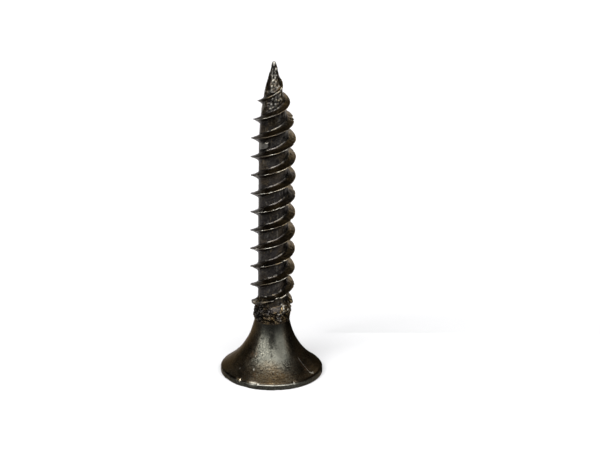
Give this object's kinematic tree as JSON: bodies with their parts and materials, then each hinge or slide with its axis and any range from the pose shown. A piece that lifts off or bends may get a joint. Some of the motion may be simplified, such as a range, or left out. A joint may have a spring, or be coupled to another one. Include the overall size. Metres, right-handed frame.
{
  "type": "drywall screw",
  "caption": "Bugle-head drywall screw for fixing board to wood, with a cross recess, coarse-pitch rolled thread and a long pinched point, black phosphate finish.",
  "frame": {"origin": "centre of the head's flat face, on the screw's axis", "axes": "+Z runs along the axis from the head to the point, so the screw stands on its head; the first thread start crosses the +X side 5.78 mm above the head's face, and the recess's wings lie along X and Y"},
  "size_m": [0.008, 0.008, 0.0254],
  "materials": {
    "phosphated_steel": "oiled black phosphate over case-hardened steel, satin"
  },
  "bodies": {
    "root": {"bugle_head": "phosphated_steel", "neck_collar": "phosphated_steel", "root_shank": "phosphated_steel", "thread_start_a": "phosphated_steel", "thread_start_b": "phosphated_steel", "pinched_point": "phosphated_steel"}
  },
  "joints": []
}
